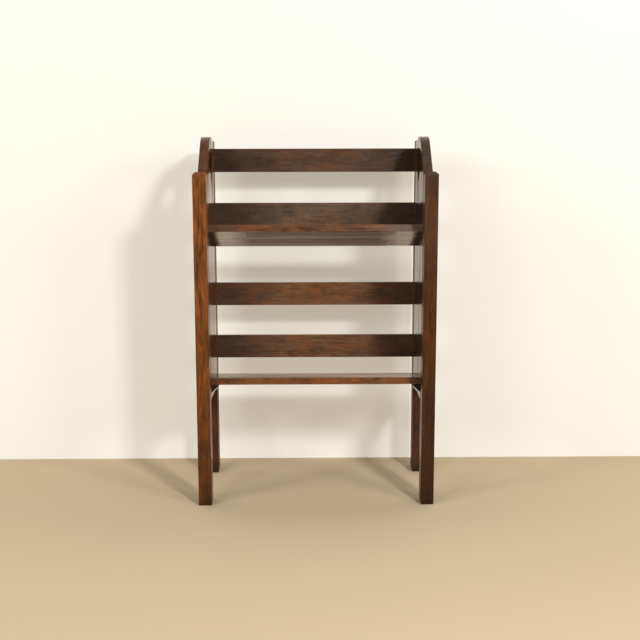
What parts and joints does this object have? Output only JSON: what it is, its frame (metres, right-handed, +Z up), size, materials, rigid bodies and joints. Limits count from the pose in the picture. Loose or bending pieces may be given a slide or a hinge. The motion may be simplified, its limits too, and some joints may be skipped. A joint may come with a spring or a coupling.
{
  "type": "book trough",
  "caption": "Tiered oak book trough: sloping shelves and leaning back slats between tall side panels, each with an arched crest and a pierced heart.",
  "frame": {"origin": "on the floor under the middle of the stand", "axes": "+X to the right as seen from the front, -Y towards the front, +Z up"},
  "size_m": [0.476, 0.254, 0.733],
  "materials": {
    "post_oak": "worn dark oak stain under a satin clear coat",
    "panel_oak": "dark oak stain under a glossy clear coat",
    "shelf_oak": "dark oak stain under a glossy clear coat, rubbed pale at the ends",
    "slat_oak": "very dark oak stain, satin",
    "cleat_oak": "nearly black stain, satin"
  },
  "bodies": {
    "root": {"front_post_left": "post_oak", "front_post_right": "post_oak", "rear_post_left": "post_oak", "rear_post_right": "post_oak", "side_panel_left": "panel_oak", "side_panel_right": "panel_oak", "upper_shelf": "shelf_oak", "lower_shelf": "shelf_oak", "upper_tier_top_slat": "slat_oak", "upper_tier_bottom_slat": "slat_oak", "lower_tier_top_slat": "slat_oak", "lower_tier_bottom_slat": "slat_oak", "lower_cleat_left": "cleat_oak", "lower_cleat_right": "cleat_oak"}
  },
  "joints": []
}
